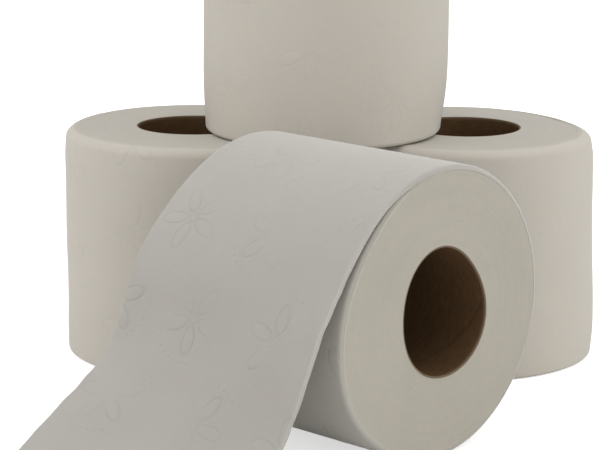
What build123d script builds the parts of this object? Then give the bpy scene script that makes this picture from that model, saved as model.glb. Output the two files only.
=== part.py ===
"""A set of four soft toilet rolls.

Two rolls stand side by side, a third stands on both of them, and a fourth lies in front with its
first sheets pulled off and hanging down to the floor. Each roll is a wound paper body glued to a
thin cardboard core, so the set is eight solids.

Frame: +Z up, the lying roll's axis along Y with its open end towards -Y, and the origin on the
floor under the middle of the set's box. Sizes are in millimetres and angles in degrees.
"""
import os
from math import cos, radians, sin, sqrt

from build123d import *

# ---- the rolls ----
sheet_width = 96.0  # also the height of a roll that stands
pair_diameter = 111.0
top_diameter = 102.4
front_diameter = 109.0
core_bore = 46.8
core_wall = 0.7
rim_round = 1.5  # soft outer corner where the sheets end

# ---- how the standing rolls are placed ----
pair_turn = 46.4  # the pair's own line, turned from X
pair_gap = 1.3  # between the two standing rolls
side_gap = 10.3  # from the lying roll's side to the right roll
back_gap = 21.0  # from the lying roll's far end to the left roll
top_slide = -2.0  # the upper roll's shift along the pair's line
top_gap = 0.9  # from the lying roll's far upper corner to the upper roll

# ---- the lying roll and its loose sheets ----
flat_depth = 0.4  # how far the soft roll settles on the floor
sheet_thickness = 0.5  # embossed sheet, with its loft
leave_angle = 38.0  # where the sheet leaves the roll, from the roll's top
fall_angle = 60.0  # how steeply it hangs
shoulder_radius = 90.0  # bend below the point where it leaves
flare_radius = 75.0  # bend where it runs out onto the floor
floor_run = 68.0  # flat length on the floor, to the torn edge

# ---- worked out from those ----
pair_radius = pair_diameter / 2
top_radius = top_diameter / 2
front_radius = front_diameter / 2
core_radius = core_bore / 2 + core_wall
axis_height = front_radius - flat_depth

leave, fall = radians(leave_angle), radians(fall_angle)
leave_height = axis_height + front_radius * cos(leave)
shoulder_drop = shoulder_radius * (cos(leave) - cos(fall))
flare_drop = flare_radius * (1 - cos(fall))
hang_drop = leave_height - sheet_thickness - shoulder_drop - flare_drop
hang_length = hang_drop / sin(fall)
sheet_reach = (
    front_radius * sin(leave)
    + shoulder_radius * (sin(fall) - sin(leave))
    + hang_length * cos(fall)
    + flare_radius * sin(fall)
    + floor_run
)

# places measured from the lying roll's open end: its axis is at x = 0 and that end at y = 0
pair_line = Vector(cos(radians(pair_turn)), -sin(radians(pair_turn)))
pair_pitch = pair_diameter + pair_gap
right_x = front_radius + side_gap + pair_radius
left_x = right_x - pair_pitch * pair_line.X
left_y = sheet_width + back_gap + pair_radius
right_y = left_y + pair_pitch * pair_line.Y

# the lying roll is a little higher than the standing ones, so the upper roll keeps behind the
# corner that stands above them
corner_rise = sheet_width - axis_height
corner = Vector(sqrt(max(front_radius**2 - corner_rise**2, 0)), sheet_width)
backwards = Vector(-pair_line.Y, pair_line.X)
seat = Vector((left_x + right_x) / 2, (left_y + right_y) / 2) + pair_line * top_slide
from_corner = seat - corner
along = from_corner.dot(backwards)
reach = top_radius + top_gap
top_shift = -along + sqrt(along**2 - from_corner.dot(from_corner) + reach**2)
top_place = seat + backwards * top_shift

origin_x = (right_x + pair_radius - sheet_reach) / 2
origin_y = (left_y + pair_radius) / 2

standing = {
    "left_roll": (pair_radius, (left_x - origin_x, left_y - origin_y, 0)),
    "right_roll": (pair_radius, (right_x - origin_x, right_y - origin_y, 0)),
    "top_roll": (top_radius, (top_place.X - origin_x, top_place.Y - origin_y, sheet_width)),
}
# sections of the lying roll are drawn on its far end, looking along -Y: X to the right, Z up
front_end = Plane(
    origin=(-origin_x, sheet_width - origin_y, 0), x_dir=(1, 0, 0), z_dir=(0, -1, 0)
)

os.makedirs("parts", exist_ok=True)


def save(piece, name):
    """Label a finished piece and write its STEP file."""
    piece.label = name
    export_step(piece, f"parts/{name}.step")


def sheet_side(depth):
    """Draw one side of the loose sheet, depth below its upper side, and give its two ends."""
    radius = front_radius - depth
    start = (-radius * sin(leave), axis_height + radius * cos(leave))
    shoulder = JernArc(
        start=start,
        tangent=(-cos(leave), -sin(leave)),
        radius=shoulder_radius - depth,
        arc_size=fall_angle - leave_angle,
    )
    hang = Line(shoulder @ 1, shoulder @ 1 + (shoulder % 1) * hang_length)
    flare = JernArc(
        start=hang @ 1, tangent=hang % 1, radius=flare_radius + depth, arc_size=-fall_angle
    )
    on_floor = Line(flare @ 1, flare @ 1 + Vector(-floor_run, 0))
    return shoulder @ 0, on_floor @ 1


# ---- standing rolls ----
for roll, (radius, place) in standing.items():
    with BuildPart() as paper:
        with BuildSketch(Plane(origin=place)):
            Circle(radius)
            Circle(core_radius, mode=Mode.SUBTRACT)
        extrude(amount=sheet_width)
        rims = paper.edges().filter_by(GeomType.CIRCLE).group_by(SortBy.RADIUS)[-1]
        fillet(rims, rim_round)
    save(paper.part, f"{roll}_paper")

    with BuildPart() as core:
        with BuildSketch(Plane(origin=place)):
            Circle(core_radius)
            Circle(core_radius - core_wall, mode=Mode.SUBTRACT)
        extrude(amount=sheet_width)
    save(core.part, f"{roll}_core")

# ---- lying roll, with its loose sheets ----
with BuildPart() as front_paper:
    with BuildSketch(front_end):
        with Locations((0, axis_height)):
            Circle(front_radius)
    extrude(amount=sheet_width)
    fillet(front_paper.edges().filter_by(GeomType.CIRCLE), rim_round)
    # the flat spot it lies on
    with BuildSketch(front_end):
        Rectangle(front_diameter, flat_depth * 2, align=(Align.CENTER, Align.MAX))
    extrude(amount=sheet_width, mode=Mode.SUBTRACT)
    with BuildSketch(front_end):
        with BuildLine():
            upper_start, upper_end = sheet_side(0)
            lower_start, lower_end = sheet_side(sheet_thickness)
            Line(upper_start, lower_start)
            Line(upper_end, lower_end)
        make_face()
    extrude(amount=sheet_width)
    with BuildSketch(front_end):
        with Locations((0, axis_height)):
            Circle(core_radius)
    extrude(amount=sheet_width, mode=Mode.SUBTRACT)
save(front_paper.part, "front_roll_paper")

with BuildPart() as front_core:
    with BuildSketch(front_end):
        with Locations((0, axis_height)):
            Circle(core_radius)
            Circle(core_radius - core_wall, mode=Mode.SUBTRACT)
    extrude(amount=sheet_width)
save(front_core.part, "front_roll_core")
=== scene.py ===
"""Looks of a set of four soft toilet rolls.

Two rolls stand side by side and a third stands on them. A fourth lies in front, and its first
sheets hang off it and run out over the floor. Each roll is a wound body of embossed tissue on a
cardboard tube. The lying roll's outer turn and its loose sheets are one strip, which is a piece
of its own here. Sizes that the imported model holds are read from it, and all others are fields of
the classes below, in metres.
"""

import logging
import math
from collections.abc import Callable, Sequence
from dataclasses import dataclass, replace
from enum import Enum

import bmesh
import bpy
import numpy as np
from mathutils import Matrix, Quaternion, Vector

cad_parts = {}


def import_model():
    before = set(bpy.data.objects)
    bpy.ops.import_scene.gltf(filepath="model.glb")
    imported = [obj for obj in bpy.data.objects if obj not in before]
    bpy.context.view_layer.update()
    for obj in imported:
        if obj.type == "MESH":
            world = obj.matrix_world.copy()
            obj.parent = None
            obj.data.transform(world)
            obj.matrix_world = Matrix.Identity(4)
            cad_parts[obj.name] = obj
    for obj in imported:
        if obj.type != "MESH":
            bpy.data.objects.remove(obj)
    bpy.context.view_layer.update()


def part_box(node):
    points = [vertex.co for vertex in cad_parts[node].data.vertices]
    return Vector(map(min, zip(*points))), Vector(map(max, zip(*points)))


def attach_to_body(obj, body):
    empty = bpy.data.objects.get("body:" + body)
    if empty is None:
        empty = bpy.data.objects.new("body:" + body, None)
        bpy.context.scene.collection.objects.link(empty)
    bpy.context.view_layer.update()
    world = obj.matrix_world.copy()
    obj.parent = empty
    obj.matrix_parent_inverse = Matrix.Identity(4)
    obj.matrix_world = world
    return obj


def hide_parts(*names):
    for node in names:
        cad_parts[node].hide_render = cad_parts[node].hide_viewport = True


MM = 0.001
FULL_TURN = 2 * math.pi
SHEET_MAP = "sheet"
SHARP_ANGLE = math.radians(60)  # edges that turn more than this are not shaded smooth

log = logging.getLogger("toilet_rolls")


# ---------------------------------------------------------------------------------------------
# Formulas that work on arrays of numbers and on shader sockets alike
# ---------------------------------------------------------------------------------------------


class Field:
    """A value in a shader node tree, whose arithmetic adds Math nodes to that tree."""

    def __init__(self, tree: bpy.types.NodeTree, socket: bpy.types.NodeSocket) -> None:
        """Wrap a socket.

        Args:
            tree: The node tree that the socket is in.
            socket: The output that gives the value.
        """
        self.tree = tree
        self.socket = socket

    @staticmethod
    def combine(operation: str, *values: "Field | float") -> "Field":
        """Add one Math node.

        Args:
            operation: The Math node's operation.
            values: Its inputs in order, at least one of them a Field.

        Returns:
            The node's result.
        """
        tree = next(value.tree for value in values if isinstance(value, Field))
        node = tree.nodes.new("ShaderNodeMath")
        node.operation = operation
        for slot, value in zip(node.inputs, values):
            if isinstance(value, Field):
                tree.links.new(value.socket, slot)
            else:
                slot.default_value = float(value)
        return Field(tree, node.outputs[0])

    def __add__(self, other: "Field | float") -> "Field":
        """Sum of two values."""
        return Field.combine("ADD", self, other)

    def __sub__(self, other: "Field | float") -> "Field":
        """Difference of two values."""
        return Field.combine("SUBTRACT", self, other)

    def __rsub__(self, other: float) -> "Field":
        """A number less this value."""
        return Field.combine("SUBTRACT", other, self)

    def __mul__(self, other: "Field | float") -> "Field":
        """Product of two values."""
        return Field.combine("MULTIPLY", self, other)

    def __truediv__(self, other: "Field | float") -> "Field":
        """Quotient of two values."""
        return Field.combine("DIVIDE", self, other)

    __radd__ = __add__
    __rmul__ = __mul__


Value = np.ndarray | Field | float


def either(operation: str, on_arrays: Callable[..., np.ndarray]) -> Callable[..., Value]:
    """Make a function that takes arrays or Fields.

    Args:
        operation: The Math node's operation for Fields.
        on_arrays: The numpy function for arrays.

    Returns:
        A function of the same values.
    """

    def call(*values: Value) -> Value:
        """Work the function out on arrays, or add its node."""
        if any(isinstance(value, Field) for value in values):
            return Field.combine(operation, *values)
        return on_arrays(*values)

    return call


floor_of = either("FLOOR", np.floor)
root_of = either("SQRT", np.sqrt)
exp_of = either("EXPONENT", np.exp)
cos_of = either("COSINE", np.cos)
sin_of = either("SINE", np.sin)
angle_of = either("ARCTAN2", np.arctan2)
larger_of = either("MAXIMUM", np.maximum)
smaller_of = either("MINIMUM", np.minimum)


def bell(distance: Value, width: float) -> Value:
    """A smooth bump that is 1 where distance is 0 and fades over width."""
    share = distance / width
    return exp_of(share * share * -1.0)


def limited(value: Value) -> Value:
    """Keep a value from 0 to 1."""
    return smaller_of(larger_of(value, 0.0), 1.0)


def folded(value: Value, pitch: float) -> Value:
    """Distance of value from the nearest multiple of pitch, with its sign."""
    return value - floor_of(value / pitch + 0.5) * pitch


@dataclass(frozen=True)
class Wave:
    """A wave over the sheet: its turns across and along it, and where in a turn it starts."""

    across: float
    along: float
    start: float

    def at(self, across: Value, along: Value, turn: float) -> Value:
        """Give the wave's height at a place, where turn is a full turn over the wave's length."""
        return sin_of(across * (turn * self.across) + along * (turn * self.along) + self.start)


@dataclass(frozen=True)
class Embossing:
    """The relief pressed into the sheet: rows of small flowers between arcs of dots.

    Across is the place over the sheet's width and along the place down its length, in metres.
    """

    flower_pitch: float = 40 * MM
    row_pitch: float = 37 * MM
    petals: int = 5
    petal_middle: float = 8.2 * MM
    petal_half_length: float = 5.4 * MM
    petal_half_width: float = 2.6 * MM
    line_share: float = 0.15
    eye_radius: float = 1.7 * MM
    dot_ring: float = 16.6 * MM
    dot_count: int = 34
    dot_radius: float = 0.5 * MM
    dot_arcs: int = 3
    arc_steepness: float = 4.0
    arc_lead: float = 1.0
    eye_line: float = 0.35 * MM
    pillow_rise: float = 0.6
    moulded_press: float = 0.5
    turn_by_row: float = 1.1
    turn_by_column: float = 0.6
    side_turn_by_row: float = 0.7
    side_contrast: float = 1.2
    side_level: float = 0.7
    patch: float = 52 * MM
    patch_waves: tuple[Wave, Wave] = (Wave(1.0, 0.45, 0.9), Wave(-0.6, 0.8, 2.1))
    patch_contrast: float = 1.1
    patch_level: float = 0.55

    def parts(self, across: Value, along: Value) -> tuple[Value, Value, Value]:
        """Work out the pattern at a place on the sheet.

        Args:
            across: Place over the width.
            along: Place down the length.

        Returns:
            How much of a petal's pillow, of a pressed line and of a pressed dot is there, 0 to 1.
        """
        row = floor_of(along / self.row_pitch)
        slid = across + row * (self.flower_pitch * 0.5)
        column = floor_of(slid / self.flower_pitch)
        x = slid - (column + 0.5) * self.flower_pitch
        y = along - (row + 0.5) * self.row_pitch
        radius = root_of(x * x + y * y)
        angle = angle_of(y, x) + row * self.turn_by_row + column * self.turn_by_column
        petal_angle = folded(angle, FULL_TURN / self.petals)
        out = (radius * cos_of(petal_angle) - self.petal_middle) / self.petal_half_length
        side = radius * sin_of(petal_angle) / self.petal_half_width
        oval = root_of(out * out + side * side)
        pillow = larger_of(1.0 - oval * oval, 0.0)
        line = larger_of(
            bell(oval - 1.0, self.line_share), bell(radius - self.eye_radius, self.eye_line)
        )
        step = folded(angle, FULL_TURN / self.dot_count) * self.dot_ring
        off_ring = radius - self.dot_ring
        dot = bell(root_of(step * step + off_ring * off_ring), self.dot_radius)
        arc = sin_of(angle * float(self.dot_arcs))
        arcs = limited(arc * self.arc_steepness + self.arc_lead)
        clear = self._clearness(across, along)
        lit_side = sin_of(petal_angle + row * self.side_turn_by_row)
        one_sided = limited(lit_side * self.side_contrast + self.side_level)
        return pillow * clear, line * clear * one_sided, dot * arcs * clear

    def moulded(self, across: np.ndarray, along: np.ndarray) -> np.ndarray:
        """Give the part of the relief that a mesh holds, in shares of its depth."""
        pillow, line, dot = self.parts(across, along)
        return np.sqrt(pillow) * self.pillow_rise - np.maximum(line, dot) * self.moulded_press

    def _clearness(self, across: Value, along: Value) -> Value:
        """Work out how clearly the press has marked the sheet: patches of it are faint.

        Args:
            across: Place over the width.
            along: Place down the length.

        Returns:
            How much of the relief is there, 0 to 1.
        """
        turn = FULL_TURN / self.patch
        broad, cross = (wave.at(across, along, turn) for wave in self.patch_waves)
        return limited(broad * cross * self.patch_contrast + self.patch_level)


@dataclass(frozen=True)
class Unevenness:
    """Smooth random waves in space, the same each time for the same seed.

    Their lengths are from shortest to longest, in shares of the size.
    """

    size: float
    depth: float
    seed: int
    waves: int = 14
    shortest: float = 0.7
    longest: float = 1.5

    def at(self, points: np.ndarray) -> np.ndarray:
        """Give the waves' height at each point.

        Args:
            points: Places in metres, with three numbers in the last axis.

        Returns:
            Heights within about depth either way.
        """
        rng = np.random.default_rng(self.seed)
        ways = rng.normal(size=(self.waves, 3))
        ways /= np.linalg.norm(ways, axis=1, keepdims=True)
        pitch = self.size * rng.uniform(self.shortest, self.longest, self.waves)
        phase = rng.uniform(0, FULL_TURN, self.waves)
        height = np.sin(points @ ways.T * (FULL_TURN / pitch) + phase)
        return self.depth * height.mean(axis=-1) * math.sqrt(self.waves) / 2


# ---------------------------------------------------------------------------------------------
# Meshes from grids of points
# ---------------------------------------------------------------------------------------------


def smooth_step(low: float, high: float, value: np.ndarray) -> np.ndarray:
    """Rise smoothly from 0 at low to 1 at high."""
    share = np.clip((value - low) / (high - low), 0, 1)
    return share * share * (3 - 2 * share)


def curve_through(points: Sequence[tuple[float, float]], count: int = 1200) -> np.ndarray:
    """Draw a smooth curve through given points.

    Args:
        points: The points, in order.
        count: How many places the curve is given at.

    Returns:
        Places on the curve, evenly spaced by chord length, one in each row.
    """
    given = np.array(points, float)
    knots = np.concatenate([[0], np.cumsum(np.linalg.norm(np.diff(given, axis=0), axis=1))])
    slopes = np.diff(given, axis=0) / np.diff(knots)[:, None]
    gaps = np.diff(knots)[:, None]
    inner = (slopes[:-1] * gaps[1:] + slopes[1:] * gaps[:-1]) / (gaps[:-1] + gaps[1:])
    tangents = np.vstack([slopes[:1], inner, slopes[-1:]])
    at = np.linspace(0, knots[-1], count)
    span = np.clip(np.searchsorted(knots, at, side="right") - 1, 0, len(gaps) - 1)
    gap = gaps[span]
    t = ((at - knots[span]) / gap[:, 0])[:, None]
    return (
        given[span] * (1 + 2 * t) * (1 - t) ** 2
        + given[span + 1] * t**2 * (3 - 2 * t)
        + tangents[span] * gap * t * (1 - t) ** 2
        - tangents[span + 1] * gap * t**2 * (1 - t)
    )


def by_length(line: np.ndarray, lengths: np.ndarray) -> np.ndarray:
    """Give the places on a line at these lengths from its start; past its end it goes straight on.

    Args:
        line: The line's points, one in each row.
        lengths: How far along the line each wanted place is.

    Returns:
        The places, one in each row.
    """
    steps = np.linalg.norm(np.diff(line, axis=0), axis=1)
    reached = np.concatenate([[0], np.cumsum(steps)])
    places = np.stack([np.interp(lengths, reached, line[:, i]) for i in (0, 1)], axis=1)
    way = (line[-1] - line[-2]) / steps[-1]
    return places + np.maximum(lengths - reached[-1], 0)[:, None] * way


class Joined(Enum):
    """Which sides of a grid of points meet each other: its rows' and its columns'."""

    COLUMNS = (False, True)
    BOTH = (True, True)


def grid_piece(
    name: str,
    points: np.ndarray,
    places: np.ndarray,
    joined: Joined,
    materials: Sequence[bpy.types.Material],
    material_of_row: Sequence[int] | None = None,
    capped: bool = False,
) -> bpy.types.Object:
    """Make a mesh piece from a grid of points, with its faces looking outwards.

    Args:
        name: The piece's name.
        points: Rows by columns of places, in metres.
        places: Rows by columns of places on the flat sheet, for the piece's map.
        joined: Which sides of the grid meet.
        materials: The piece's materials.
        material_of_row: Which of them each row of faces has; the first if not given.
        capped: Whether the first and last rows, each a thin loop, are closed.

    Returns:
        The new piece.
    """
    rows, columns = points.shape[:2]
    rows_meet, columns_meet = joined.value
    i, j = np.meshgrid(
        np.arange(rows if rows_meet else rows - 1),
        np.arange(columns if columns_meet else columns - 1),
        indexing="ij",
    )
    i, j = i.ravel(), j.ravel()
    corner_rows = np.stack([i, i, i + 1, i + 1], axis=1) % rows
    corner_columns = np.stack([j, j + 1, j + 1, j], axis=1) % columns
    corners = corner_rows * columns + corner_columns
    if capped:
        side = np.arange(columns // 2 - 1)
        loop = np.stack([side, side + 1, columns - 2 - side, columns - 1 - side], axis=1)
        corners = np.vstack([corners, loop, loop[:, ::-1] + (rows - 1) * columns])
    mesh = bpy.data.meshes.new(name)
    mesh.from_pydata(points.reshape(-1, 3).tolist(), [], corners.tolist())
    layer = mesh.uv_layers.new(name=SHEET_MAP)
    flat = places.reshape(-1, 2)[corners.ravel()]
    layer.data.foreach_set("uv", flat.astype(np.float32).ravel())
    for material in materials:
        mesh.materials.append(material)
    if material_of_row is not None:
        chosen = np.zeros(len(corners), np.int32)
        chosen[: len(i)] = np.asarray(material_of_row, np.int32)[i]
        mesh.polygons.foreach_set("material_index", chosen)
    mesh.polygons.foreach_set("use_smooth", np.ones(len(corners), bool))
    solid = bmesh.new()
    solid.from_mesh(mesh)
    bmesh.ops.recalc_face_normals(solid, faces=solid.faces)
    solid.to_mesh(mesh)
    solid.free()
    mesh.set_sharp_from_angle(angle=SHARP_ANGLE)
    mesh.update()
    piece = bpy.data.objects.new(name, mesh)
    bpy.context.scene.collection.objects.link(piece)
    return piece


@dataclass(frozen=True)
class Place:
    """Where a roll is: its middle line's lower or open end, its directions and its sizes."""

    end: Vector
    axis: Vector
    side: Vector
    across: Vector
    radius: float
    core_radius: float
    width: float

    def at(self, radius: np.ndarray, angle: np.ndarray, height: np.ndarray) -> np.ndarray:
        """Turn places around the roll into places in the row's frame.

        Args:
            radius: Distances from the axis.
            angle: Angles from the roll's own side, in radians.
            height: Distances along the axis from the roll's lower or open end.

        Returns:
            The places, with three numbers in a new last axis.
        """
        side, across = np.array(self.side), np.array(self.across)
        flat = radius[..., None] * (np.cos(angle)[..., None] * side + np.sin(angle)[..., None] * across)
        return np.array(self.end) + flat + height[..., None] * np.array(self.axis)


def standing_place(roll: str, seam_bearing: float) -> Place:
    """Read a standing roll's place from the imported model.

    Args:
        roll: The roll's name, which its two nodes start with.
        seam_bearing: Direction from the axis to the outer turn's free edge, degrees from +X.

    Returns:
        The roll's place, with the axis upwards.
    """
    low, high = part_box(f"{roll}_paper")
    core_low, core_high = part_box(f"{roll}_core")
    middle = (core_low + core_high) / 2
    bearing = math.radians(seam_bearing)
    return Place(
        end=Vector((middle.x, middle.y, low.z)),
        axis=Vector((0, 0, 1)),
        side=Vector((math.cos(bearing), math.sin(bearing), 0)),
        across=Vector((-math.sin(bearing), math.cos(bearing), 0)),
        radius=(high.x - low.x) / 2,
        core_radius=(core_high.x - core_low.x) / 2,
        width=high.z - low.z,
    )


def lying_place(roll: str) -> Place:
    """Read the lying roll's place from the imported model.

    Args:
        roll: The roll's name, which its two nodes start with.

    Returns:
        The roll's place. Its axis runs from the open end, and angles are measured from its top
        towards the side that the loose sheet hangs on.
    """
    low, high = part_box(f"{roll}_paper")
    core_low, core_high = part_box(f"{roll}_core")
    middle = (core_low + core_high) / 2
    return Place(
        end=Vector((middle.x, low.y, middle.z)),
        axis=Vector((0, 1, 0)),
        side=Vector((0, 0, 1)),
        across=Vector((-1, 0, 0)),
        radius=high.z - middle.z,
        core_radius=(core_high.z - core_low.z) / 2,
        width=high.y - low.y,
    )


# ---------------------------------------------------------------------------------------------
# Finishes
# ---------------------------------------------------------------------------------------------

Colour = tuple[float, float, float]


@dataclass(frozen=True)
class TissueFinish:
    """How one side of the tissue looks. Depths are in metres.

    Where the thinness is more than 0, light comes through the sheet: light_depth says how far,
    and light_reach how much of that each of red, green and blue goes.
    """

    name: str
    colour: Colour
    mottle: float
    roughness: float
    sheen: float
    emboss_depth: float
    grain_depth: float
    # How much darker the pressed lines are in colour: painted shade.
    line_painted_shade: float
    gloss: float = 0.25
    thinness: float = 0.0
    sheen_roughness: float = 0.6
    light_depth: float = 0.35 * MM
    light_reach: Colour = (1.0, 0.95, 0.9)


@dataclass(frozen=True)
class EdgeFinish:
    """How the wound sheets' edges look at a roll's end."""

    name: str
    colour: Colour
    mottle: float
    roughness: float
    ring_depth: float
    ring_shade: float
    gloss: float = 0.08


@dataclass(frozen=True)
class BoardFinish:
    """How a core's cardboard looks. It is paler at both ends of its length: painted light where light
    comes in at the tube's mouths.

    Fibres and specks are counted in waves per metre. The last three shares say how much the
    fibres' colour comes from them, from the seams, and is there all over.
    """

    name: str
    colour: Colour
    fibre_colour: Colour
    mouth_painted_light: Colour
    roughness: float
    length: float
    mouth_light_depth: float
    grain_depth: float
    seam_pitch: float
    seam_slope: float
    seam_depth: float
    gloss: float = 0.03
    fibres_along: float = 700.0
    fibres_around: float = 220.0
    specks: float = 900.0
    fibre_share: float = 1.6
    seam_share: float = 0.3
    even_share: float = 0.35


OUTER_TISSUE = TissueFinish(
    name="outer_tissue",
    colour=(0.545, 0.510, 0.452),
    mottle=0.03,
    roughness=0.92,
    sheen=0.12,
    emboss_depth=0.05 * MM,
    grain_depth=0.03 * MM,
    line_painted_shade=0.02,
)
# The same paper as the outer tissue, in a darker colour as painted shade: the two are a lit and a
# shaded copy.
LOOSE_TISSUE_PAINTED_SHADE = TissueFinish(
    name="loose_tissue_painted_shade",
    colour=(0.432, 0.414, 0.383),
    mottle=0.03,
    roughness=0.92,
    sheen=0.12,
    emboss_depth=0.13 * MM,
    grain_depth=0.035 * MM,
    line_painted_shade=0.04,
    thinness=1.0,
)
# A lighter copy of the loose tissue, with painted light: it brightens the outer turn where the hanging
# sheet shades it.
PAINTED_LIGHT_TISSUE = replace(
    LOOSE_TISSUE_PAINTED_SHADE, name="painted_light_tissue", colour=(0.485, 0.468, 0.424), thinness=0.0
)
# The rolls' ends are one paper in a lit and a shaded copy: the standing ends' lighter colour is painted
# light.
STANDING_END_PAINTED_LIGHT = EdgeFinish(
    name="standing_end_painted_light",
    colour=(0.510, 0.484, 0.436),
    mottle=0.04,
    roughness=0.95,
    ring_depth=0.06 * MM,
    ring_shade=0.025,
)
# The lying roll's end has a darker colour as painted shade.
LYING_END_PAINTED_SHADE = EdgeFinish(
    name="lying_end_painted_shade",
    colour=(0.448, 0.422, 0.362),
    mottle=0.06,
    roughness=0.95,
    ring_depth=0.06 * MM,
    ring_shade=0.03,
)
# The board's colours are far darker than cardboard's own grey-brown: painted shade for the inside of
# the tube.
CORE_BOARD_PAINTED_SHADE = BoardFinish(
    name="tube_board_painted_shade",
    colour=(0.128, 0.074, 0.036),
    fibre_colour=(0.078, 0.046, 0.023),
    mouth_painted_light=(0.19, 0.14, 0.095),
    roughness=0.85,
    length=96 * MM,
    mouth_light_depth=0.8 * MM,
    grain_depth=0.025 * MM,
    seam_pitch=62 * MM,
    seam_slope=0.55,
    seam_depth=0.08 * MM,
)


class NodeTree:
    """A node tree that is being filled, with short calls for the nodes used here."""

    def __init__(self, tree: bpy.types.NodeTree) -> None:
        """Start from an empty tree."""
        self.tree = tree
        tree.nodes.clear()

    def add(self, kind: str, **settings: object) -> bpy.types.Node:
        """Add a node.

        Args:
            kind: The node's type name.
            settings: Properties of the node to set, by name.

        Returns:
            The new node.
        """
        node = self.tree.nodes.new(kind)
        for key, value in settings.items():
            setattr(node, key, value)
        return node

    def feed(self, slot: bpy.types.NodeSocket, value: object) -> None:
        """Give an input its value.

        Args:
            slot: The input.
            value: A Field or a socket to link, or a plain value.
        """
        if isinstance(value, Field):
            self.tree.links.new(value.socket, slot)
        elif isinstance(value, bpy.types.NodeSocket):
            self.tree.links.new(value, slot)
        else:
            slot.default_value = value

    def field(self, socket: bpy.types.NodeSocket) -> Field:
        """Wrap one of this tree's sockets."""
        return Field(self.tree, socket)

    def vector(self, x: Field | float, y: Field | float, z: Field | float) -> bpy.types.NodeSocket:
        """Join three values into a vector.

        Args:
            x: The first value.
            y: The second value.
            z: The third value.

        Returns:
            The vector's socket.
        """
        node = self.add("ShaderNodeCombineXYZ")
        for slot, value in zip(node.inputs, (x, y, z)):
            self.feed(slot, value)
        return node.outputs[0]

    def split(self, socket: bpy.types.NodeSocket) -> tuple[Field, Field, Field]:
        """Take a vector apart.

        Args:
            socket: The vector's socket.

        Returns:
            Its three values.
        """
        node = self.add("ShaderNodeSeparateXYZ")
        self.feed(node.inputs[0], socket)
        return tuple(self.field(output) for output in node.outputs)

    def noise(self, place: bpy.types.NodeSocket, scale: float, detail: float) -> Field:
        """Add a noise texture.

        Args:
            place: Where the noise is read.
            scale: Its waves per metre.
            detail: How many finer waves are added to it.

        Returns:
            Its value, centred on 0 and within a half either way.
        """
        node = self.add("ShaderNodeTexNoise")
        self.feed(node.inputs["Vector"], place)
        self.feed(node.inputs["Scale"], scale)
        self.feed(node.inputs["Detail"], detail)
        return self.field(node.outputs["Fac"]) - 0.5

    def streaks(self, *waves: tuple[Field, float], detail: float) -> Field:
        """Add a noise that is stretched.

        Args:
            waves: Up to three places, each with its waves per metre.
            detail: How many finer waves are added to it.

        Returns:
            Its value, centred on 0.
        """
        parts = [place * per_metre for place, per_metre in waves]
        parts += [0.0] * (3 - len(parts))
        return self.noise(self.vector(*parts), scale=1.0, detail=detail)

    def shade(self, noise: Field, amount: bpy.types.NodeSocket) -> Field:
        """Turn a noise into a shade that is about 1 and strays by an amount either way."""
        return noise * self.field(amount) * 2.0 + 1.0

    def effect(self, group: bpy.types.NodeTree, **values: object) -> bpy.types.Node:
        """Place a shared effect.

        Args:
            group: The effect's node group.
            values: What its inputs get, by name.

        Returns:
            The group's node.
        """
        node = self.add("ShaderNodeGroup", node_tree=group)
        for key, value in values.items():
            self.feed(node.inputs[key], value)
        return node

    def tinted(self, colour: Colour, shade: Field) -> bpy.types.NodeSocket:
        """Make a colour lighter or darker over the surface.

        Args:
            colour: The plain colour.
            shade: What it is multiplied by.

        Returns:
            The new colour's socket.
        """
        node = self.add("ShaderNodeVectorMath", operation="SCALE")
        self.feed(node.inputs[0], colour)
        self.feed(node.inputs["Scale"], shade)
        return node.outputs[0]


def new_effect(
    name: str, inputs: dict[str, str], outputs: dict[str, str]
) -> tuple[NodeTree, dict[str, bpy.types.NodeSocket], bpy.types.Node]:
    """Start a shader node group.

    Args:
        name: The group's name.
        inputs: Kind of each named input: Float, Vector or Color.
        outputs: Kind of each named output.

    Returns:
        The tree, its input sockets by name, and the node that its outputs go to.
    """
    group = bpy.data.node_groups.new(name, "ShaderNodeTree")
    for side, sockets in (("INPUT", inputs), ("OUTPUT", outputs)):
        for label, kind in sockets.items():
            group.interface.new_socket(
                name=label, in_out=side, socket_type=f"NodeSocket{kind}"
            )
    tree = NodeTree(group)
    start, end = tree.add("NodeGroupInput"), tree.add("NodeGroupOutput")
    return tree, {label: start.outputs[label] for label in inputs}, end


def weighed(parts: Sequence[Field], shares: Sequence[float]) -> Field:
    """Add up fields, each times its share."""
    first, *others = (part * share for part, share in zip(parts, shares))
    return sum(others, first)


@dataclass(frozen=True)
class Grain:
    """How fine the tissue's effects are, in waves per metre.

    A share says how much its wave counts beside the others. At a roll's end three waves come
    together: the rings of single sheets, bands of several sheets, and loose fluff.
    """

    crepe_across: float = 260.0
    crepe_along: float = 1300.0
    crepe_share: float = 1.4
    fibre: float = 900.0
    cloud: float = 38.0
    fine_cloud: float = 420.0
    fine_cloud_share: float = 0.6
    wander: float = 25.0
    wander_width: float = 1.6 * MM
    rings: float = 1500.0
    rings_around: float = 30.0
    bands: float = 320.0
    bands_around: float = 14.0
    fluff: float = 1100.0
    end_heights: tuple[float, float, float] = (1.2, 1.0, 0.8)
    end_shades: tuple[float, float, float] = (0.7, 1.2, 0.5)


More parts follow.
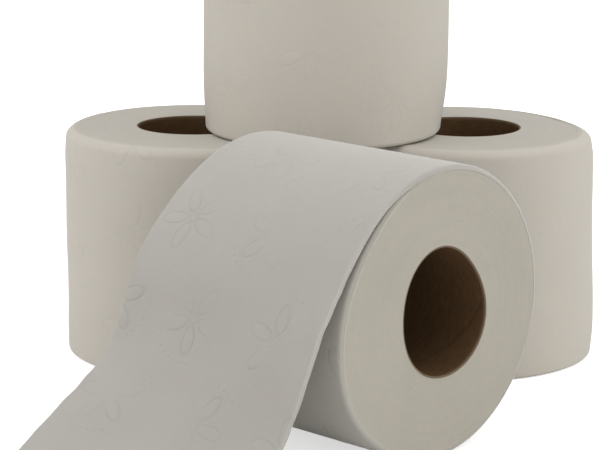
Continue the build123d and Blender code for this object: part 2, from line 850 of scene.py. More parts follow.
class Effects:
    """The shader node groups that the materials share.

    A seam between the board's strips is as wide as seam_width times their pitch.
    """

    seam_width: float = 0.012

    def __init__(self, embossing: Embossing, grain: Grain) -> None:
        """Build each group once.

        Args:
            embossing: The relief that the sheet is pressed with.
            grain: How fine the tissue is.
        """
        self.emboss = self._emboss(embossing)
        self.grain = self._grain(grain)
        self.mottle = self._mottle(grain)
        self.rings = self._rings(grain)
        self.spiral = self._spiral()

    @staticmethod
    def _emboss(embossing: Embossing) -> bpy.types.NodeTree:
        """Build the pressed flowers: their height, and a mask of their lines and dots.

        Args:
            embossing: The relief that the sheet is pressed with.

        Returns:
            The group.
        """
        tree, given, end = new_effect(
            "embossing", {"Place": "Vector", "Depth": "Float"}, {"Height": "Float", "Lines": "Float"}
        )
        across, along, _ = tree.split(given["Place"])
        pillow, line, dot = embossing.parts(across, along)
        depth = tree.field(given["Depth"])
        pressed = larger_of(line, dot)
        raised = root_of(pillow) * embossing.pillow_rise
        tree.feed(end.inputs["Height"], (raised - pressed) * depth)
        tree.feed(end.inputs["Lines"], pressed)
        return tree.tree

    @staticmethod
    def _grain(grain: Grain) -> bpy.types.NodeTree:
        """Build fine crepe folds across the sheet, with loose fibre between them.

        Args:
            grain: How fine the tissue is.

        Returns:
            The group.
        """
        tree, given, end = new_effect(
            "grain", {"Place": "Vector", "Depth": "Float"}, {"Height": "Float"}
        )
        across, along, _ = tree.split(given["Place"])
        crepe = tree.streaks((across, grain.crepe_across), (along, grain.crepe_along), detail=3.0)
        fibre = tree.streaks((across, grain.fibre), (along, grain.fibre), detail=2.0)
        height = (crepe * grain.crepe_share + fibre) * tree.field(given["Depth"])
        tree.feed(end.inputs["Height"], height)
        return tree.tree

    @staticmethod
    def _mottle(grain: Grain) -> bpy.types.NodeTree:
        """Build a faint cloudy change of shade over the paper, about 1 all over.

        Args:
            grain: How fine the tissue is.

        Returns:
            The group.
        """
        tree, given, end = new_effect(
            "mottle", {"Place": "Vector", "Amount": "Float"}, {"Shade": "Float"}
        )
        broad = tree.noise(given["Place"], grain.cloud, detail=3.0)
        fine = tree.noise(given["Place"], grain.fine_cloud, detail=2.0)
        cloud = broad + fine * grain.fine_cloud_share
        tree.feed(end.inputs["Shade"], tree.shade(cloud, given["Amount"]))
        return tree.tree

    @staticmethod
    def _rings(grain: Grain) -> bpy.types.NodeTree:
        """Build the edges of the wound sheets: fine rings that come and go around the roll.

        Args:
            grain: How fine the tissue is.

        Returns:
            The group.
        """
        tree, given, end = new_effect(
            "wound_rings",
            {"Place": "Vector", "Radius": "Float", "Depth": "Float", "Amount": "Float"},
            {"Height": "Float", "Shade": "Float"},
        )
        x, y, z = tree.split(given["Place"])
        wander = tree.noise(given["Place"], grain.wander, detail=1.0) * grain.wander_width
        turns = tree.field(given["Radius"]) + wander
        rings, bands = (
            tree.streaks((turns, outwards), (x + y, around), (z, around), detail=2.0)
            for outwards, around in (
                (grain.rings, grain.rings_around),
                (grain.bands, grain.bands_around),
            )
        )
        waves = (rings, bands, tree.noise(given["Place"], grain.fluff, detail=2.0))
        height = weighed(waves, grain.end_heights) * tree.field(given["Depth"])
        tree.feed(end.inputs["Height"], height)
        shade = tree.shade(weighed(waves, grain.end_shades), given["Amount"])
        tree.feed(end.inputs["Shade"], shade)
        return tree.tree

    def _spiral(self) -> bpy.types.NodeTree:
        """Build the seams of the board's spiral strips inside the tube.

        Returns:
            The group.
        """
        tree, given, end = new_effect(
            "spiral_seams",
            {"Place": "Vector", "Pitch": "Float", "Slope": "Float"},
            {"Ledge": "Float", "Seam": "Float"},
        )
        along, around, _ = tree.split(given["Place"])
        pitch = tree.field(given["Pitch"])
        run = (along + around * tree.field(given["Slope"])) / pitch
        share = run - floor_of(run)
        seam = bell(smaller_of(share, 1.0 - share), self.seam_width)
        tree.feed(end.inputs["Ledge"], share)
        tree.feed(end.inputs["Seam"], seam)
        return tree.tree


class Finishes:
    """The materials, each made once."""

    def __init__(self, effects: Effects) -> None:
        """Make every material.

        Args:
            effects: The shader node groups that they share.
        """
        self.effects = effects
        self.outer = self._tissue(OUTER_TISSUE)
        self.painted_light_under_sheet = self._tissue(PAINTED_LIGHT_TISSUE)
        self.loose = self._tissue(LOOSE_TISSUE_PAINTED_SHADE)
        self.standing_end_painted_light = self._edges(STANDING_END_PAINTED_LIGHT)
        self.lying_end_painted_shade = self._edges(LYING_END_PAINTED_SHADE)
        self.board = self._board(CORE_BOARD_PAINTED_SHADE)

    @staticmethod
    def _start(
        finish: TissueFinish | EdgeFinish | BoardFinish,
    ) -> tuple[bpy.types.Material, NodeTree, bpy.types.Node]:
        """Start a material with a plain Principled shader.

        Args:
            finish: The finish, which gives the material its name.

        Returns:
            The material, its node tree, and the shader's node.
        """
        material = bpy.data.materials.new(finish.name)
        material.use_nodes = True
        tree = NodeTree(material.node_tree)
        shader = tree.add("ShaderNodeBsdfPrincipled")
        output = tree.add("ShaderNodeOutputMaterial")
        tree.feed(output.inputs["Surface"], shader.outputs[0])
        shader.inputs["Roughness"].default_value = finish.roughness
        shader.inputs["Specular IOR Level"].default_value = finish.gloss
        return material, tree, shader

    @staticmethod
    def _raise(tree: NodeTree, shader: bpy.types.Node, height: Field) -> None:
        """Let a height tilt the shading.

        Args:
            tree: The material's node tree.
            shader: The shader's node.
            height: The height, in metres.
        """
        bump = tree.add("ShaderNodeBump")
        bump.inputs["Strength"].default_value = 1.0
        bump.inputs["Distance"].default_value = 1.0
        tree.feed(bump.inputs["Height"], height)
        tree.feed(shader.inputs["Normal"], bump.outputs[0])

    def _tissue(self, finish: TissueFinish) -> bpy.types.Material:
        """Make embossed, creped tissue seen on its flat side.

        Args:
            finish: How it looks.

        Returns:
            The new material.
        """
        material, tree, shader = self._start(finish)
        shader.inputs["Sheen Weight"].default_value = finish.sheen
        shader.inputs["Sheen Roughness"].default_value = finish.sheen_roughness
        shader.inputs["Subsurface Weight"].default_value = finish.thinness
        shader.inputs["Subsurface Radius"].default_value = finish.light_reach
        shader.inputs["Subsurface Scale"].default_value = finish.light_depth
        sheet = tree.add("ShaderNodeUVMap", uv_map=SHEET_MAP).outputs[0]
        space = tree.add("ShaderNodeTexCoord").outputs["Object"]
        pressed = tree.effect(self.effects.emboss, Place=sheet, Depth=finish.emboss_depth)
        grain = tree.effect(self.effects.grain, Place=sheet, Depth=finish.grain_depth)
        cloud = tree.effect(self.effects.mottle, Place=space, Amount=finish.mottle)
        lines = tree.field(pressed.outputs["Lines"])
        # Painted shade: the colour is darker along the pressed lines and dots, where shade falls in the
        # relief.
        shade = tree.field(cloud.outputs["Shade"]) * (1.0 - lines * finish.line_painted_shade)
        tree.feed(shader.inputs["Base Color"], tree.tinted(finish.colour, shade))
        height = tree.field(pressed.outputs["Height"]) + tree.field(grain.outputs["Height"])
        self._raise(tree, shader, height)
        return material

    def _edges(self, finish: EdgeFinish) -> bpy.types.Material:
        """Make the wound sheets' edges at a roll's end.

        Args:
            finish: How they look.

        Returns:
            The new material.
        """
        material, tree, shader = self._start(finish)
        sheet = tree.add("ShaderNodeUVMap", uv_map=SHEET_MAP).outputs[0]
        space = tree.add("ShaderNodeTexCoord").outputs["Object"]
        radius, _, _ = tree.split(sheet)
        rings = tree.effect(
            self.effects.rings,
            Place=space,
            Radius=radius,
            Depth=finish.ring_depth,
            Amount=finish.ring_shade,
        )
        cloud = tree.effect(self.effects.mottle, Place=space, Amount=finish.mottle)
        shade = tree.field(cloud.outputs["Shade"]) * tree.field(rings.outputs["Shade"])
        tree.feed(shader.inputs["Base Color"], tree.tinted(finish.colour, shade))
        self._raise(tree, shader, tree.field(rings.outputs["Height"]))
        return material

    def _board(self, finish: BoardFinish) -> bpy.types.Material:
        """Make grey-brown cardboard, wound in a spiral: its colours are darkened as painted shade, and
        paler at both ends as painted light.

        Args:
            finish: How it looks.

        Returns:
            The new material.
        """
        material, tree, shader = self._start(finish)
        sheet = tree.add("ShaderNodeUVMap", uv_map=SHEET_MAP).outputs[0]
        space = tree.add("ShaderNodeTexCoord").outputs["Object"]
        spiral = tree.effect(
            self.effects.spiral, Place=sheet, Pitch=finish.seam_pitch, Slope=finish.seam_slope
        )
        along, around, _ = tree.split(sheet)
        fibres = tree.streaks(
            (along, finish.fibres_along), (around, finish.fibres_around), detail=4.0
        )
        specks = tree.noise(space, finish.specks, detail=3.0)
        mix = tree.add("ShaderNodeMix", data_type="RGBA")
        seam = tree.field(spiral.outputs["Seam"])
        share = fibres * finish.fibre_share + seam * finish.seam_share + finish.even_share
        tree.feed(mix.inputs["Factor"], limited(share))
        tree.feed(mix.inputs["A"], (*finish.colour, 1.0))
        tree.feed(mix.inputs["B"], (*finish.fibre_colour, 1.0))
        # Painted light: near both ends of the tube the board is paler, where light comes in at its
        # mouths.
        cut = tree.add("ShaderNodeMix", data_type="RGBA")
        tree.feed(cut.inputs["Factor"], bell(folded(along, finish.length), finish.mouth_light_depth))
        tree.feed(cut.inputs["A"], mix.outputs["Result"])
        tree.feed(cut.inputs["B"], (*finish.mouth_painted_light, 1.0))
        tree.feed(shader.inputs["Base Color"], cut.outputs["Result"])
        ledge = tree.field(spiral.outputs["Ledge"]) * finish.seam_depth
        self._raise(tree, shader, ledge + (fibres + specks) * finish.grain_depth)
        return material


# ---------------------------------------------------------------------------------------------
# The pieces
# ---------------------------------------------------------------------------------------------


@dataclass(frozen=True)
class Dent:
    """A soft dent, or a swelling where the depth is less than 0, in a roll's side.

    The angle is in degrees, from the roll's own side in a body or strip and from +X in a
    StandingRoll. The height is measured from the roll's lower or open end.
    """

    angle: float
    spread: float
    depth: float
    height: float = 0.0
    reach: float = 1.0

    def at(self, angle: np.ndarray, height: np.ndarray) -> np.ndarray:
        """Work out how far the surface lies inwards.

        Args:
            angle: Angles around the roll, in radians.
            height: Heights from the roll's lower or open end.

        Returns:
            The depth at each place, in metres.
        """
        around = folded(angle - math.radians(self.angle), FULL_TURN) / math.radians(self.spread)
        up = (height - self.height) / self.reach
        return self.depth * np.exp(-(around**2) - up**2)


@dataclass(frozen=True)
class CoreTube:
    """A cardboard tube, a little out of round, as soft rolls press it.

    Angles are in degrees from the roll's own side.
    """

    name: str
    place: Place
    wall: float = 0.7 * MM
    oval: float = 0.3 * MM
    oval_angle: float = 20.0
    pear: float = 0.2 * MM
    pear_angle: float = 90.0
    columns: int = 144
    rows: int = 48
    lip_rows: int = 6

    def swell(self, angle: np.ndarray) -> np.ndarray:
        """Work out how much wider than round the tube is.

        Args:
            angle: Angles around the tube, in radians.

        Returns:
            The extra radius at each angle, in metres.
        """
        oval = self.oval * np.cos(2 * (angle - math.radians(self.oval_angle)))
        pear = self.pear * np.cos(3 * (angle - math.radians(self.pear_angle)))
        return oval + pear

    def build(self, board: bpy.types.Material) -> bpy.types.Object:
        """Make the tube, with soft cut ends.

        Args:
            board: The cardboard's material.

        Returns:
            The new piece.
        """
        outer = self.place.core_radius
        inner = outer - self.wall
        lip = self.wall / 2
        run = np.linspace(lip, self.place.width - lip, self.rows)
        turn = (np.arange(self.lip_rows) + 0.5) * math.pi / self.lip_rows
        radius = np.concatenate([
            np.full(self.rows, inner),
            inner + lip - lip * np.cos(turn),
            np.full(self.rows, outer),
            outer - lip + lip * np.cos(turn),
        ])
        height = np.concatenate([
            run,
            self.place.width - lip + lip * np.sin(turn),
            run[::-1],
            lip - lip * np.sin(turn),
        ])
        angle = np.linspace(0, FULL_TURN, self.columns + 1)[:-1]
        radius, angle = np.meshgrid(radius, angle, indexing="ij")
        height = np.broadcast_to(height[:, None], radius.shape)
        points = self.place.at(radius + self.swell(angle), angle, height)
        places = np.stack([height, angle * inner], axis=-1)
        return grid_piece(self.name, points, places, Joined.BOTH, [board])


@dataclass(frozen=True)
class SoftRim:
    """The rounded corner between a roll's side and its end.

    The corner is worn further in around one angle, in degrees from the roll's own side. The wear
    reaches down the side too, by worn_reach times the corner's own height.
    """

    inwards: float = 5.0 * MM
    down: float = 4.2 * MM
    worn: float = 0.25
    worn_angle: float = 0.0
    worn_spread: float = 50.0
    worn_reach: float = 3.0

    def wear(self, angle: np.ndarray) -> np.ndarray:
        """How many times its usual size the corner has at each angle."""
        off = folded(angle - math.radians(self.worn_angle), FULL_TURN)
        return 1 + self.worn * bell(off, math.radians(self.worn_spread))

    def inset(self, depth: np.ndarray) -> np.ndarray:
        """How far inwards the surface is at each depth below the end."""
        share = np.clip(1 - depth / self.down, 0, 1)
        return self.inwards * (1 - np.sqrt(1 - share**2))


@dataclass(frozen=True)
class WoundBody:
    """A roll's wound paper as one closed body: the outer turn, both ends and the hole.

    The outer turn is a spiral, so its free edge makes a small step. The near end's corner is the
    rim's size times foot. Of each corner's rows, side_rim_rows have the side's finish.
    """

    name: str
    place: Place
    tube: CoreTube
    rim: SoftRim = SoftRim()
    foot: float = 1.0
    dents: tuple[Dent, ...] = ()
    sheet: float = 0.45 * MM
    under: float = 0.0
    slack: Unevenness = Unevenness(size=45 * MM, depth=0.35 * MM, seed=3)
    ends: Unevenness = Unevenness(size=30 * MM, depth=0.35 * MM, seed=5)
    emboss_depth: float = 0.08 * MM
    columns: int = 330
    wall_rows: int = 80
    rim_rows: int = 9
    side_rim_rows: int = 6
    end_rows: int = 30

    def _profile(self) -> tuple[np.ndarray, np.ndarray, np.ndarray, list[int]]:
        """Draw the section from the outer wall over the far end, the hole and the near end.

        Returns:
            For each row, its share of the way from the hole to the outer turn, its share of the
            rim's turn from the wall to the end, its height, and the material of its faces.
        """
        width = self.place.width
        wall = np.linspace(self.rim.down * self.foot, width - self.rim.down, self.wall_rows)
        turn = np.linspace(0, math.pi / 2, self.rim_rows + 2)[1:-1]
        end = np.linspace(1, 0, self.end_rows)
        share = np.concatenate([np.ones(self.wall_rows + self.rim_rows), end, end[::-1]])
        share = np.append(share, np.ones(self.rim_rows))
        turned = np.concatenate([
            np.zeros(self.wall_rows),
            turn,
            np.full(self.end_rows * 2, math.pi / 2),
            turn[::-1],
        ])
        depth = self.rim.down * (1 - np.sin(turn))
        height = np.concatenate([
            wall,
            width - depth,
            np.full(self.end_rows, width),
            np.zeros(self.end_rows),
            depth[::-1] * self.foot,
        ])
        of_side = self.wall_rows + self.side_rim_rows
        of_ends = len(share) - of_side - self.side_rim_rows
        material = [0] * of_side + [1] * of_ends + [0] * self.side_rim_rows
        return share, turned, height, material

    def build(
        self, side: bpy.types.Material, ends: bpy.types.Material, embossing: Embossing
    ) -> bpy.types.Object:
        """Make the body.

        Args:
            side: The material of the outer turn.
            ends: The material of the wound sheets' edges.
            embossing: The relief on the outer turn.

        Returns:
            The new piece.
        """
        profile_share, profile_turn, profile_height, material = self._profile()
        angle = np.linspace(0, FULL_TURN, self.columns)
        share, angle = np.meshgrid(profile_share, angle, indexing="ij")
        turned = np.broadcast_to(profile_turn[:, None], share.shape)
        height = np.broadcast_to(profile_height[:, None], share.shape).copy()
        near_end = np.minimum(height, self.place.width - height)
        wear = self.rim.wear(angle)
        size = np.where(height < self.place.width / 2, self.foot, 1.0)
        inset = self.rim.inwards * wear * (1 - np.cos(turned))
        lower = smooth_step(self.rim.worn_reach, 0.0, near_end / self.rim.down)
        extra = (wear - 1) * self.rim.down * lower
        inset = size * (inset + extra * (turned < math.pi / 2))
        hole = self.place.core_radius + self.tube.swell(angle)
        outside = self.place.radius - self.under - self.sheet * angle / FULL_TURN - inset
        for dent in self.dents:
            outside = outside - dent.at(angle, height)
        on_wall = turned < math.pi / 2
        plain = self.place.at(hole + (outside - hole) * share, angle, height)
        around = angle * self.place.radius
        pressed = embossing.moulded(height, around) * self.emboss_depth
        loose = self.slack.at(plain) - self.slack.depth
        radius = hole + (outside - hole) * share + np.where(on_wall, pressed, 0) + loose * share
        at_end = np.where(share < 1, np.sin(math.pi * share) ** 0.5, 0)
        far = height > self.place.width / 2
        sunk = (self.ends.at(plain) - self.ends.depth) * at_end
        height += np.where(far, sunk, -sunk)
        points = self.place.at(radius, angle, height)
        places = np.stack(
            [np.where(on_wall, height, radius), np.where(on_wall, around, around / 2)], axis=-1
        )
        return grid_piece(
            self.name,
            points,
            places,
            Joined.BOTH,
            [side, ends],
            material_of_row=material,
        )


@dataclass(frozen=True)
class LooseStrip:
    """The lying roll's outer turn and the sheets that hang off it, as one thin strip.

    An edge's line gives, in millimetres, how far out from the roll's axis the sheet is and how
    high above the floor, from the place where it leaves the roll to where it lies flat. The strip
    is cut flat to its width, and to one turn of the roll with the loose length, and keeps that
    length.

    The fields that end in from and to say where something begins and where it is full: on the
    roll in radians or in shares of the length to the leaving place, beyond that place and before
    the torn end in metres. The fields that end in width are measured from a cut edge. The loose
    part's curve sets out lead_in radians before the leaving place. Between the edges, one line
    changes into the other as smoothly as if that began edge_share of the width outside them.
    """

    name: str
    place: Place
    rim: SoftRim
    dents: tuple[Dent, ...]
    loose_length: float = 215 * MM
    tucked_turn: float = math.radians(376)
    thickness: float = 0.45 * MM
    near_leave: float = 41.0
    far_leave: float = 36.0
    near_line: tuple[tuple[float, float], ...] = (
        (45.4, 84.9),
        (54.6, 72.2),
        (62.6, 59.6),
        (69.6, 47.2),
        (76.0, 35.2),
        (83.4, 23.4),
        (94.0, 12.2),
        (110.0, 4.4),
        (130.0, 0.9),
        (150.0, 0.3),
    )
    far_line: tuple[tuple[float, float], ...] = (
        (45.4, 87.6),
        (56.2, 76.8),
        (64.0, 65.2),
        (68.6, 53.2),
        (74.2, 42.4),
        (83.2, 32.2),
        (96.0, 23.6),
        (110.5, 14.8),
        (127.0, 5.0),
        (150.0, 0.4),
    )
    nub_pitch: float = 4.6 * MM
    nub_length: float = 0.5 * MM
    corner_curl: float = 3.5 * MM
    edge_curl: float = 0.8 * MM
    slack: Unevenness = Unevenness(size=42 * MM, depth=0.6 * MM, seed=11)
    flutter: Unevenness = Unevenness(size=13 * MM, depth=0.3 * MM, seed=12)
    ripple: Unevenness = Unevenness(size=8 * MM, depth=0.35 * MM, seed=13)
    dents_from: float = -0.2
    dents_to: float = -0.9
    lead_in: float = 0.1
    edge_share: float = 0.15
    rim_share_from: float = 1.1
    rim_share_to: float = 0.2
    hang_share_from: float = 0.7
    hang_to: float = 45 * MM
    settle_from: float = 90 * MM
    settle_to: float = 50 * MM
    ripple_from: float = 15 * MM
    ripple_to: float = 45 * MM
    corner_from: float = 30 * MM
    nub_width: float = 1.4 * MM
    plain_width: float = 3 * MM
    flutter_width: float = 12 * MM
    edge_curl_width: float = 2.5 * MM
    ripple_width: float = 6 * MM
    emboss_depth: float = 0.12 * MM
    row_step: float = 1.3 * MM
    columns: int = 96
    edge_gather: float = 0.45

    def flat_length(self) -> float:
        """The strip's whole length, laid flat."""
        return self.place.radius * self.tucked_turn + self.loose_length

    def _edge(self, leave: float, line: Sequence[tuple[float, float]], run: np.ndarray) -> np.ndarray:
        """Follow one edge from its tucked end to its torn end.

        Args:
            leave: Angle from the roll's top where this edge leaves the roll, in degrees.
            line: The edge's line from there on, in millimetres.
            run: Lengths along the strip, 0 at the roll's top and less than 0 on the roll's back.

        Returns:
            How far out and how high the middle of the sheet is, one row for each length.
        """
        radius = self.place.radius - self.thickness / 2
        angle = np.minimum(run / radius, math.radians(leave))
        turn = radius - self.thickness * np.maximum(-angle, 0) / FULL_TURN
        behind = smooth_step(self.dents_from, self.dents_to, angle)
        for dent in self.dents:
            turn = turn - dent.at(angle, dent.height) * behind
        on_roll = np.stack([turn * np.sin(angle), self.place.end.z + turn * np.cos(angle)], axis=1)
        ahead = np.radians(leave) + np.array([-self.lead_in, 0.0])
        start = np.stack(
            [radius * np.sin(ahead), self.place.end.z + radius * np.cos(ahead)], axis=1
        )
        lift = np.array([0.0, self.thickness / 2])
        hung = curve_through([*start.tolist(), *(np.array(line) * MM + lift).tolist()])
        before = np.linalg.norm(start[1] - start[0])
        loose = by_length(hung, run - radius * math.radians(leave) + before)
        return np.where((run > radius * math.radians(leave))[:, None], loose, on_roll)

    def _columns(self) -> np.ndarray:
        """Space the columns over the width, closer together near both edges.

        Returns:
            The columns' places from the near edge, in metres.
        """
        share = np.linspace(0, 1, self.columns)
        gathered = share - self.edge_gather * np.sin(FULL_TURN * share) / FULL_TURN
        return self.place.width * gathered

    def build(self, finishes: Finishes, embossing: Embossing) -> bpy.types.Object:
        """Args:
            finishes: The materials.
            embossing: The relief on the sheet.

        Returns:
            The new piece.
        """
        radius = self.place.radius
        first = radius * (math.radians(self.near_leave) - self.tucked_turn)
        last = first + self.flat_length()
        run = np.linspace(first, last, round((last - first) / self.row_step))
        near = self._edge(self.near_leave, self.near_line, run)
        far = self._edge(self.far_leave, self.far_line, run)
        width = self._columns()
        share = smooth_step(-self.edge_share, 1 + self.edge_share, width / self.place.width)
        share = (share - share[0]) / (share[-1] - share[0])
        line = near[:, None] * (1 - share[:, None]) + far[:, None] * share[:, None]
        along, across = np.meshgrid(run, width, indexing="ij")
        out = self.place.end.x - line[..., 0]
        middle = np.stack([out, self.place.end.y + across, line[..., 1]], axis=-1)
        normal = self._normals(middle)
        middle += normal * self._relief(middle, along, across, embossing)[..., None]
        middle[..., 1] += self._edge_ripple(middle, along, across)
        middle[..., 2] += self._corner_curl(last - along, across)
        nubs = np.abs(folded(width, self.nub_pitch)) < self.nub_width / 2
        middle[-1, :, 0] -= self.nub_length * nubs
        middle[..., 2] = np.maximum(middle[..., 2], self.thickness / 2)
        upper = middle + normal * (self.thickness / 2)
        under = middle - normal * (self.thickness / 2)
        upper[..., 2] = np.maximum(upper[..., 2], 0)
        under[..., 2] = np.maximum(under[..., 2], 0)
        points = np.concatenate([upper, under[:, ::-1]], axis=1)
        flat = np.stack([across, along], axis=-1)
        places = np.concatenate([flat, flat[:, ::-1]], axis=1)
        # The rows more than half a turn behind the roll's top lie in the hanging sheet's shade, and
        # take the lighter copy with painted light.
        piece = grid_piece(
            self.name,
            points,
            places,
            Joined.COLUMNS,
            [finishes.loose, finishes.painted_light_under_sheet],
            material_of_row=(run[:-1] < -radius * math.pi).astype(np.int32),
            capped=True,
        )
        self.flat_length()
        return piece

    def _relief(
        self, middle: np.ndarray, along: np.ndarray, across: np.ndarray, embossing: Embossing
    ) -> np.ndarray:
        """Work out how far the sheet stands out from its plain shape.

        Args:
            middle: Points of the plain shape.
            along: Lengths along the strip.
            across: Places over the width.
            embossing: The relief on the sheet.

        Returns:
            The distance at each point, in metres.
        """
        leave = self.place.radius * math.radians(self.near_leave)
        last = along[-1, 0]
        edge = np.minimum(across, self.place.width - across)
        relief = embossing.moulded(across, along) * self.emboss_depth
        relief *= smooth_step(0, self.plain_width, edge)
        hanging = smooth_step(leave * self.hang_share_from, leave + self.hang_to, along)
        hanging *= 1 - smooth_step(last - self.settle_from, last - self.settle_to, along)
        beside = smooth_step(self.flutter_width, 0, edge)
        relief += hanging * (self.slack.at(middle) + self.flutter.at(middle) * beside)
        relief += hanging * self.edge_curl * smooth_step(self.edge_curl_width, 0, across)
        on_roll = smooth_step(leave * self.rim_share_from, leave * self.rim_share_to, along)
        return relief - on_roll * self.rim.inset(edge)

    def _edge_ripple(
        self, middle: np.ndarray, along: np.ndarray, across: np.ndarray
    ) -> np.ndarray:
        """Work out how far the cut edges stray sideways where the sheet hangs free.

        Args:
            middle: Points of the plain shape.
            along: Lengths along the strip.
            across: Places over the width.

        Returns:
            The distance at each point, in metres.
        """
        edge = np.minimum(across, self.place.width - across)
        leave = self.place.radius * math.radians(self.far_leave)
        loose = smooth_step(leave + self.ripple_from, leave + self.ripple_to, along)
        return loose * smooth_step(self.ripple_width, 0, edge) * self.ripple.at(middle)

    def _corner_curl(self, left: np.ndarray, across: np.ndarray) -> np.ndarray:
        """How far the torn end's corners lift off the floor."""
        beside = np.abs(across / self.place.width - 0.5) * 2
        return self.corner_curl * smooth_step(self.corner_from, 0.0, left) * beside**3

    @staticmethod
    def _normals(points: np.ndarray) -> np.ndarray:
        """Work out which way the sheet's upper side faces.

        Args:
            points: Rows by columns of places on the sheet.

        Returns:
            A direction of length 1 at each point.
        """
        down = np.gradient(points, axis=0)
        over = np.gradient(points, axis=1)
        normal = np.cross(over, down)
        return normal / np.linalg.norm(normal, axis=-1, keepdims=True)


class Slot(Enum):
    """The record's material slots."""

    TISSUE = "tissue"
    BOARD = "core_board"


def attach(piece: bpy.types.Object, slot: Slot, *nodes: str) -> None:
    """Let a piece ride with the set and stand for its solids.

    Args:
        piece: The piece.
        slot: The material slot meant for the piece's finish; not used.
        nodes: The solids that it replaces.
    """
    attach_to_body(piece, "root")
    if nodes:
        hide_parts(*nodes)
    log.info("%s: %d faces", piece.name, len(piece.data.polygons))


@dataclass(frozen=True)
class StandingRoll:
    """One of the three standing rolls: its wound body and its core.

    The seam, the bearings and the dents' angles are in degrees from +X, and build turns them into
    angles from the seam. The foot is how large the lower rim is beside the upper one.
    """

    roll: str
    seam: float
    seed: int
    worn: float = 0.2
    worn_bearing: float = 0.0
    foot: float = 0.45
    dents: tuple[Dent, ...] = ()
    oval: float = 0.3 * MM
    oval_bearing: float = 120.0

    def build(self, finishes: Finishes, embossing: Embossing) -> None:
        """Make the roll's two pieces.

        Args:
            finishes: The materials.
            embossing: The relief on the sheet.
        """
        place = standing_place(self.roll, self.seam)
        tube = CoreTube(
            f"{self.roll}_tube", place, oval=self.oval, oval_angle=self.oval_bearing - self.seam
        )
        body = WoundBody(
            f"{self.roll}_body",
            place,
            tube,
            rim=SoftRim(worn=self.worn, worn_angle=self.worn_bearing - self.seam),
            foot=self.foot,
            dents=tuple(replace(dent, angle=dent.angle - self.seam) for dent in self.dents),
            slack=Unevenness(size=45 * MM, depth=0.35 * MM, seed=self.seed),
            ends=Unevenness(size=30 * MM, depth=0.35 * MM, seed=self.seed + 1),
        )
        wound = body.build(finishes.outer, finishes.standing_end_painted_light, embossing)
        attach(wound, Slot.TISSUE, f"{self.roll}_paper")
        attach(tube.build(finishes.board), Slot.BOARD, f"{self.roll}_core")


@dataclass(frozen=True)
class LyingRoll:
    """The roll in front: its wound body, its core, and the strip that hangs off it.

    It sags a little, so its side is fuller below the loose sheet and flatter above.
    """

    roll: str = "front_roll"
    rim: SoftRim = SoftRim(inwards=1.5 * MM, down=2.0 * MM, worn=0.0)
    dents: tuple[Dent, ...] = (
        Dent(angle=115, spread=32, depth=-2.8 * MM),
        Dent(angle=50, spread=25, depth=1.9 * MM),
    )

    def build(self, finishes: Finishes, embossing: Embossing) -> None:
        """Make the roll's three pieces.

        Args:
            finishes: The materials.
            embossing: The relief on the sheet.
        """
        place = lying_place(self.roll)
        tube = CoreTube(
            f"{self.roll}_tube",
            place,
            oval=1.2 * MM,
            oval_angle=31,
            pear=0.65 * MM,
            pear_angle=13,
        )
        strip = LooseStrip(f"{self.roll}_strip", place, self.rim, self.dents)
        body = WoundBody(
            f"{self.roll}_body",
            place,
            tube,
            rim=self.rim,
            dents=self.dents,
            under=strip.thickness,
            emboss_depth=0.0,
            slack=Unevenness(size=45 * MM, depth=0.0, seed=1),
            ends=Unevenness(size=26 * MM, depth=0.35 * MM, seed=21),
        )
        wound = body.build(finishes.loose, finishes.lying_end_painted_shade, embossing)
        rest_on_floor(wound)
        attach(wound, Slot.TISSUE, f"{self.roll}_paper")
        attach(strip.build(finishes, embossing), Slot.TISSUE)
        attach(tube.build(finishes.board), Slot.BOARD, f"{self.roll}_core")


def rest_on_floor(piece: bpy.types.Object) -> None:
    """Flatten what would reach below the floor."""
    for vertex in piece.data.vertices:
        vertex.co.z = max(vertex.co.z, 0.0)


# ---------------------------------------------------------------------------------------------
# Surroundings
# ---------------------------------------------------------------------------------------------


@dataclass(frozen=True)
class SoftBox:
    """A large soft lamp, aimed at the set. Its azimuth is counted from the camera's, in degrees."""

    name: str
    azimuth: float
    elevation: float
    width: float
    level: float
    height: float = 1.2
    distance: float = 1.3

    def build(self, aim: Vector, camera_azimuth: float) -> None:
        """Place the lamp.

        Args:
            aim: The point that it faces.
            camera_azimuth: Where the camera stands, in degrees.
        """
        lamp = bpy.data.lights.new(self.name, "AREA")
        lamp.shape = "RECTANGLE"
        lamp.size, lamp.size_y = self.width, self.height
        lamp.energy = self.level * math.pi**2 * self.distance**2
        holder = bpy.data.objects.new(self.name, lamp)
        back = direction(camera_azimuth + self.azimuth, self.elevation)
        holder.location = aim + back * self.distance
        holder.rotation_mode = "QUATERNION"
        holder.rotation_quaternion = back.to_track_quat("Z", "Y")
        bpy.context.scene.collection.objects.link(holder)


def direction(azimuth: float, elevation: float) -> Vector:
    """The way from the set to a viewer: azimuth 0 is along -Y and 90 along +X, in degrees."""
    turn, rise = math.radians(azimuth), math.radians(elevation)
    return Vector(
        (math.sin(turn) * math.cos(rise), -math.cos(turn) * math.cos(rise), math.sin(rise))
    )


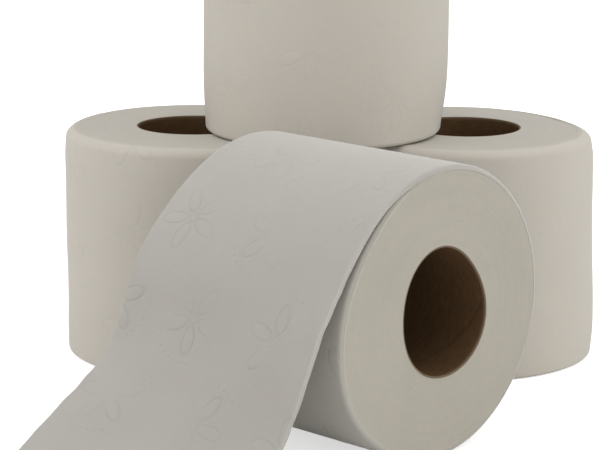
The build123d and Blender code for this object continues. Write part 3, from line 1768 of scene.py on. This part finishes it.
@dataclass(frozen=True)
class Studio:
    """The floor, the pale surroundings, the lamps and the camera."""

    azimuth: float = -46.8
    elevation: float = 12.61
    roll: float = 0.40
    distance: float = 0.8812
    aim: tuple[float, float, float] = (0.0183, -0.0399, 0.0748)
    lens: float = 138.4
    sight: float = 50.0
    floor_size: float = 12.0
    floor_drop: float = 0.1 * MM
    floor_colour: Colour = (0.90, 0.90, 0.89)
    floor_glow: float = 0.60
    surround: float = 0.76
    surround_colour: Colour = (1.0, 0.995, 0.985)
    lamps: tuple[SoftBox, ...] = (
        SoftBox("left_lamp", azimuth=-82, elevation=18, width=1.1, level=0.185),
        SoftBox("right_lamp", azimuth=80, elevation=20, width=1.1, level=0.20),
        SoftBox("top_lamp", azimuth=0, elevation=80, width=1.2, level=0.245),
    )

    def build(self) -> None:
        """Make all of it."""
        for lamp in self.lamps:
            lamp.build(Vector(self.aim), self.azimuth)
        self._surround()
        self._floor()
        self._camera()
        scene = bpy.context.scene
        scene.view_settings.view_transform = "Standard"

    def _surround(self) -> None:
        """White all round for the eye, and a plain pale light for the set."""
        world = bpy.data.worlds.new("surroundings")
        world.use_nodes = True
        tree = NodeTree(world.node_tree)
        seen = tree.add("ShaderNodeBackground")
        light = tree.add("ShaderNodeBackground")
        light.inputs["Strength"].default_value = self.surround
        light.inputs["Color"].default_value = (*self.surround_colour, 1)
        seen.inputs["Strength"].default_value = 1.0
        seen.inputs["Color"].default_value = (1, 1, 1, 1)
        output = tree.add("ShaderNodeOutputWorld")
        tree.feed(output.inputs["Surface"], self._by_ray(tree, light, seen))
        bpy.context.scene.world = world

    @staticmethod
    def _by_ray(
        tree: NodeTree, light: bpy.types.Node, seen: bpy.types.Node
    ) -> bpy.types.NodeSocket:
        """Choose what the eye sees, or what lights the set.

        Args:
            tree: The node tree.
            light: The shader that lights the set.
            seen: The shader that the eye sees, also in a shine or through something clear.

        Returns:
            The chosen shader's socket.
        """
        path = tree.add("ShaderNodeLightPath")
        camera, glossy, through = (
            tree.field(path.outputs[f"Is {kind} Ray"]) for kind in ("Camera", "Glossy", "Transmission")
        )
        by_eye = larger_of(larger_of(camera, glossy), through)
        mix = tree.add("ShaderNodeMixShader")
        tree.feed(mix.inputs[0], by_eye)
        tree.feed(mix.inputs[1], light.outputs[0])
        tree.feed(mix.inputs[2], seen.outputs[0])
        return mix.outputs[0]

    def _floor(self) -> None:
        """A pale floor that keeps the set's shadow."""
        half = self.floor_size / 2
        corners = [(-half, -half), (half, -half), (half, half), (-half, half)]
        mesh = bpy.data.meshes.new("floor")
        mesh.from_pydata([(x, y, -self.floor_drop) for x, y in corners], [], [(0, 1, 2, 3)])
        material = bpy.data.materials.new("pale_floor")
        material.use_nodes = True
        tree = NodeTree(material.node_tree)
        plain = tree.add("ShaderNodeBsdfDiffuse")
        plain.inputs["Color"].default_value = (*self.floor_colour, 1)
        glow = tree.add("ShaderNodeEmission")
        glow.inputs["Strength"].default_value = self.floor_glow
        lit = tree.add("ShaderNodeAddShader")
        tree.feed(lit.inputs[0], plain.outputs[0])
        tree.feed(lit.inputs[1], glow.outputs[0])
        output = tree.add("ShaderNodeOutputMaterial")
        tree.feed(output.inputs["Surface"], self._by_ray(tree, plain, lit))
        mesh.materials.append(material)
        floor = bpy.data.objects.new("floor", mesh)
        bpy.context.scene.collection.objects.link(floor)

    def _camera(self) -> None:
        """The camera, at the height of someone looking slightly down on the set."""
        camera = bpy.data.cameras.new("camera")
        camera.lens = self.lens
        camera.clip_end = self.sight
        holder = bpy.data.objects.new("camera", camera)
        back = direction(self.azimuth, self.elevation)
        holder.location = Vector(self.aim) + back * self.distance
        holder.rotation_mode = "QUATERNION"
        turned = Quaternion((0, 0, 1), math.radians(self.roll))
        holder.rotation_quaternion = back.to_track_quat("Z", "Y") @ turned
        bpy.context.scene.collection.objects.link(holder)
        bpy.context.scene.camera = holder


def main() -> None:
    """Load the frame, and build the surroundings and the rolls."""
    logging.basicConfig(level=logging.INFO, format="%(name)s: %(message)s")
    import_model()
    Studio().build()
    embossing = Embossing()
    finishes = Finishes(Effects(embossing, Grain()))
    rolls = (
        StandingRoll(
            "left_roll", seam=100, seed=3, oval=1.2 * MM, oval_bearing=140, worn_bearing=170
        ),
        StandingRoll(
            "right_roll",
            seam=20,
            seed=7,
            worn=0.6,
            worn_bearing=-15,
            dents=(Dent(angle=-54, spread=35, depth=-2.0 * MM, height=5 * MM, reach=45 * MM),),
        ),
        StandingRoll(
            "top_roll",
            seam=70,
            seed=13,
            worn_bearing=-40,
            dents=(
                Dent(angle=-47, spread=45, depth=2.2 * MM, height=0.0, reach=15 * MM),
                Dent(angle=133, spread=50, depth=0.8 * MM, height=0.0, reach=14 * MM),
            ),
        ),
        LyingRoll(),
    )
    for roll in rolls:
        roll.build(finishes, embossing)


if __name__ == "__main__":
    main()
